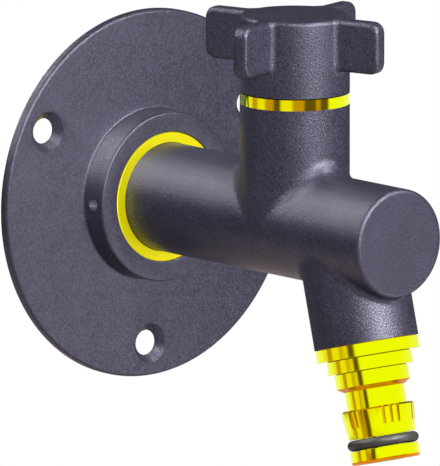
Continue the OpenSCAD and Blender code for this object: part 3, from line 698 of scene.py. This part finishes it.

# Check-valve spring
# An open coil of steel wire that stands on the housing's spider and holds the poppet shut. In the
# real valve its far end goes with the poppet, so the coil shortens by the lift; here it is drawn at one
# length.
WIRE_R = 0.00025
COIL_R = 0.0026
COIL_START = 0.0179
COIL_END = 0.0231
COIL_TURNS = 4
COIL_GAP = 0.00002
WIRE_SIDES = 16
STEPS_PER_TURN = 32
coil_steps = STEPS_PER_TURN * COIL_TURNS
coil_rise = COIL_END - COIL_START - 2 * (WIRE_R + COIL_GAP)
coil_lean = math.atan(coil_rise / (COIL_TURNS * 2 * math.pi * COIL_R))
wire = bmesh.new()
wire_end = Matrix.Translation((COIL_R, 0, COIL_START + COIL_GAP + WIRE_R))
wire_end = wire_end @ Matrix.Rotation(coil_lean + math.radians(90), 4, "X")
bmesh.ops.create_circle(wire, segments=WIRE_SIDES, radius=WIRE_R, matrix=wire_end)
bmesh.ops.spin(wire, geom=wire.verts[:] + wire.edges[:], axis=(0, 0, 1), cent=(0, 0, 0),
               dvec=(0, 0, coil_rise / coil_steps), angle=2 * math.pi * COIL_TURNS, steps=coil_steps)
bmesh.ops.holes_fill(wire, edges=[e for e in wire.edges if e.is_boundary], sides=0)
bmesh.ops.recalc_face_normals(wire, faces=wire.faces)
bmesh.ops.transform(wire, matrix=DOWN_OUTLET, verts=wire.verts)
spring = new_piece("valve_spring", wire)
finish_with(spring, steel)
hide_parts("check_spring")
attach(spring, "tap")
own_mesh(spring)

# Floor and room
# A pale matt floor well below the tap, and a dim grey room. The camera itself sees plain white
# behind the tap.
FLOOR_Z = -0.6
FLOOR_R = 1.6
ROOM_LEVEL = 0.05
floor_mesh = bmesh.new()
bmesh.ops.create_circle(floor_mesh, cap_ends=True, segments=96, radius=FLOOR_R,
                        matrix=Matrix.Translation((0, 0, FLOOR_Z)))
floor = new_piece("floor", floor_mesh)
pale = new_material("pale_floor", Base_Color=(0.86, 0.86, 0.86, 1), Roughness=0.9)[0]
floor.data.materials.append(pale)
world = bpy.data.worlds.new("studio_room")
bpy.context.scene.world = world
world.use_nodes = True
make, link = node_maker(world)
room = world.node_tree.nodes["Background"]
room.inputs["Color"].default_value = (1, 1, 1, 1)
room.inputs["Strength"].default_value = ROOM_LEVEL
seen = make("ShaderNodeBackground", Strength=1.0, Color=(1, 1, 1, 1))
ray = make("ShaderNodeLightPath")
either = make("ShaderNodeMixShader")
link(ray.outputs["Is Camera Ray"], either.inputs[0])
link(room.outputs[0], either.inputs[1])
link(seen.outputs[0], either.inputs[2])
link(either.outputs[0], world.node_tree.nodes["World Output"].inputs["Surface"])

# Panels
# Plain soft panels with gaps between them stand round the tap, bright overhead and dark underfoot.
# They are painted in light on a wide shell that lets every other ray through. Every piece mirrors
# them but the coated ones and the O-ring, which the lamps light.
SHELL_R = 8.0
VIEW_AZIMUTH = math.radians(-40)
# A panel's level is its red, then its green and blue: lit, lit warm, half lit, or a gap between panels
LIT = (1.05, 0.95)
WARM = (1.0, 0.75)
HALF_LIT = (0.6, 0.25)
GAP = (0.10, 0.03)
PANEL_EDGE = 6
# Heights on the unit sphere: between the low and the high panels, and from underfoot to the panels
LOW_TO_HIGH = (-0.06, 0.04)
DARK_TO_BRIGHT = (-0.62, -0.35)
UNDERFOOT = 0.12
shell_mesh = bmesh.new()
bmesh.ops.create_icosphere(shell_mesh, subdivisions=5, radius=SHELL_R)
shell = new_piece("panel_shell", shell_mesh, 180)
glow = bpy.data.materials.new("panel_glow")
glow.use_nodes = True
glow.node_tree.nodes.clear()
make, link = node_maker(glow)
sky = make("ShaderNodeTexCoord").outputs["Object"]
unit = make("ShaderNodeVectorMath", operation="NORMALIZE")
split = make("ShaderNodeSeparateXYZ")
heading = make("ShaderNodeMath", operation="ARCTAN2")
lap = make("ShaderNodeMath", operation="MULTIPLY_ADD")
wrap = make("ShaderNodeMath", operation="FRACT")
lap.inputs[1].default_value = 1 / (2 * math.pi)
# A lap of 0.5 is the side that the photograph is taken from, and more is further to its right
camera_heading = math.atan2(-math.cos(VIEW_AZIMUTH), math.sin(VIEW_AZIMUTH)) / (2 * math.pi)
lap.inputs[2].default_value = 1.5 - camera_heading
link(sky, unit.inputs[0])
link(unit.outputs[0], split.inputs[0])
link(split.outputs["Y"], heading.inputs[0])
link(split.outputs["X"], heading.inputs[1])
link(heading.outputs[0], lap.inputs[0])
link(lap.outputs[0], wrap.inputs[0])


def panel_ramp(panels):
    # Each panel is the heading that it starts at, in degrees, and its level
    ramp = make("ShaderNodeValToRGB")
    marks = ramp.color_ramp.elements
    ends = [start for start, level in panels[1:]] + [180]
    stops = []
    for (start, level), end in zip(panels, ends):
        stops += [(start + PANEL_EDGE / 2, level), (end - PANEL_EDGE / 2, level)]
    for i, (degrees, (red, cool)) in enumerate(stops):
        mark = marks[i] if i < 2 else marks.new(1)
        mark.position = 0.5 + degrees / 360
        mark.color = (red, cool, cool, 1)
    link(wrap.outputs[0], ramp.inputs["Fac"])
    return ramp


low_panels = panel_ramp([(-180, LIT), (-115, WARM), (-100, HALF_LIT), (-85, WARM), (-65, HALF_LIT),
                         (-45, GAP), (-30, WARM), (-5, HALF_LIT), (20, GAP), (45, HALF_LIT), (55, GAP),
                         (75, LIT)])
high_panels = panel_ramp([(-180, GAP), (-120, WARM), (-45, GAP), (-30, LIT), (140, GAP)])
high_share = make("ShaderNodeMapRange", From_Min=LOW_TO_HIGH[0], From_Max=LOW_TO_HIGH[1])
panels = make("ShaderNodeMix", data_type="RGBA")
fade = make("ShaderNodeMapRange", interpolation_type="SMOOTHSTEP", From_Min=DARK_TO_BRIGHT[0],
            From_Max=DARK_TO_BRIGHT[1], To_Min=UNDERFOOT, To_Max=1.0)
panel_light = make("ShaderNodeEmission")
clear = make("ShaderNodeBsdfTransparent")
both = make("ShaderNodeAddShader")
# The Mix node's colours are its sockets 6 and 7, and its colour result is the third output
link(split.outputs["Z"], high_share.inputs["Value"])
link(high_share.outputs["Result"], panels.inputs[0])
link(low_panels.outputs["Color"], panels.inputs[6])
link(high_panels.outputs["Color"], panels.inputs[7])
link(split.outputs["Z"], fade.inputs["Value"])
link(fade.outputs["Result"], panel_light.inputs["Strength"])
link(panels.outputs[2], panel_light.inputs["Color"])
link(panel_light.outputs[0], both.inputs[0])
link(clear.outputs[0], both.inputs[1])
link(both.outputs[0], make("ShaderNodeOutputMaterial").inputs["Surface"])
shell.data.materials.append(glow)
shell.visible_camera = False
shell.visible_shadow = False
mirroring = bpy.data.collections.new("mirroring_pieces")
for piece in list(bpy.context.scene.objects):
    if piece.type == "MESH" and piece not in (casting, rosette, handle, o_ring, shell):
        mirroring.objects.link(piece)
shell.light_linking.receiver_collection = mirroring

# Lamps
# Soft round lamps without shadows. Fifteen light the coated pieces and the O-ring, and one more
# lights the satin collar from the front.
TARGET = Vector((0, -0.045, 0))
LAMP_DISTANCE = 0.5
LAMP_SIZE = 0.10
COLLAR_SIDE = (-0.5, -0.86, -0.1)
COLLAR_WATTS = 1.5


def soft_lamp(name, toward, watts, receivers):
    lamp = bpy.data.lights.new(name, "AREA")
    lamp.shape = "DISK"
    lamp.size = LAMP_SIZE
    lamp.energy = watts
    lamp.use_shadow = False
    lamp.cycles.use_multiple_importance_sampling = False
    lamp_object = bpy.data.objects.new(name, lamp)
    lamp_object.location = TARGET + Vector(toward).normalized() * LAMP_DISTANCE
    lamp_object.rotation_euler = Vector(toward).to_track_quat("Z", "Y").to_euler()
    lamp_object.light_linking.receiver_collection = receivers
    lamp_object.visible_camera = False
    bpy.context.scene.collection.objects.link(lamp_object)


coated = bpy.data.collections.new("coated_pieces")
for piece in (casting, rosette, handle, o_ring):
    coated.objects.link(piece)
# The way towards each lamp, and its power in watts
LAMPS = [
    (-0.50, 0.21, 0.84, 0.54),
    (0.24, -0.51, 0.82, 1.65),
    (-0.37, 0.53, 0.76, 0.48),
    (-0.03, 0.74, 0.68, 0.16),
    (-0.48, -0.58, 0.66, 1.53),
    (-0.32, 0.78, 0.54, 0.37),
    (-0.84, 0.22, 0.49, 0.88),
    (0.48, -0.74, 0.47, 1.35),
    (-0.62, 0.67, 0.41, 0.42),
    (0.00, -0.92, 0.39, 2.75),
    (-0.51, -0.81, 0.31, 0.53),
    (0.34, -0.91, 0.26, 0.60),
    (-0.21, -0.96, 0.18, 0.68),
    (0.14, -0.99, 0.04, 0.45),
    (0.52, -0.73, -0.44, 0.37),
]
for i, (x, y, z, watts) in enumerate(LAMPS):
    soft_lamp(f"lamp_{i + 1}", (x, y, z), watts, coated)
collar = bpy.data.collections.new("collar")
collar.objects.link(nipple)
soft_lamp("collar_lamp", COLLAR_SIDE, COLLAR_WATTS, collar)

# Camera
# It looks from the photograph's side, 40 degrees round and 10 degrees up. The photograph has no
# perspective, so the camera stands far off with a very long lens.
VIEW_ELEVATION = math.radians(10)
FRAME_WIDTH_PX = 440
FRAME_HEIGHT_PX = 466
FRAME_HEIGHT = 0.10574
PX_PER_METRE = 4407.0
ORIGIN_PX = (143.7, 191.4)
LENS = 1500
SENSOR = 36
camera_data = bpy.data.cameras.new("camera")
camera_data.lens = LENS
camera_data.sensor_fit = "AUTO"
camera_data.sensor_width = SENSOR
camera_data.clip_end = 100
camera = bpy.data.objects.new("camera", camera_data)
bpy.context.scene.collection.objects.link(camera)
bpy.context.scene.camera = camera
right = Vector((math.cos(VIEW_AZIMUTH), math.sin(VIEW_AZIMUTH), 0))
up = Vector((-math.sin(VIEW_ELEVATION) * math.sin(VIEW_AZIMUTH),
             math.sin(VIEW_ELEVATION) * math.cos(VIEW_AZIMUTH), math.cos(VIEW_ELEVATION)))
back = right.cross(up)
# The point that lies in the middle of the frame, in the plane through the neck's axis
middle = right * (FRAME_WIDTH_PX / 2 - ORIGIN_PX[0]) / PX_PER_METRE
middle += up * (ORIGIN_PX[1] - FRAME_HEIGHT_PX / 2) / PX_PER_METRE
middle += back * (Vector((0, -NECK_REACH, 0)).dot(back))
camera.location = middle + back * (FRAME_HEIGHT * LENS / SENSOR)
camera.rotation_euler = Matrix((right, up, back)).transposed().to_euler()
bpy.context.scene.view_settings.view_transform = "Standard"
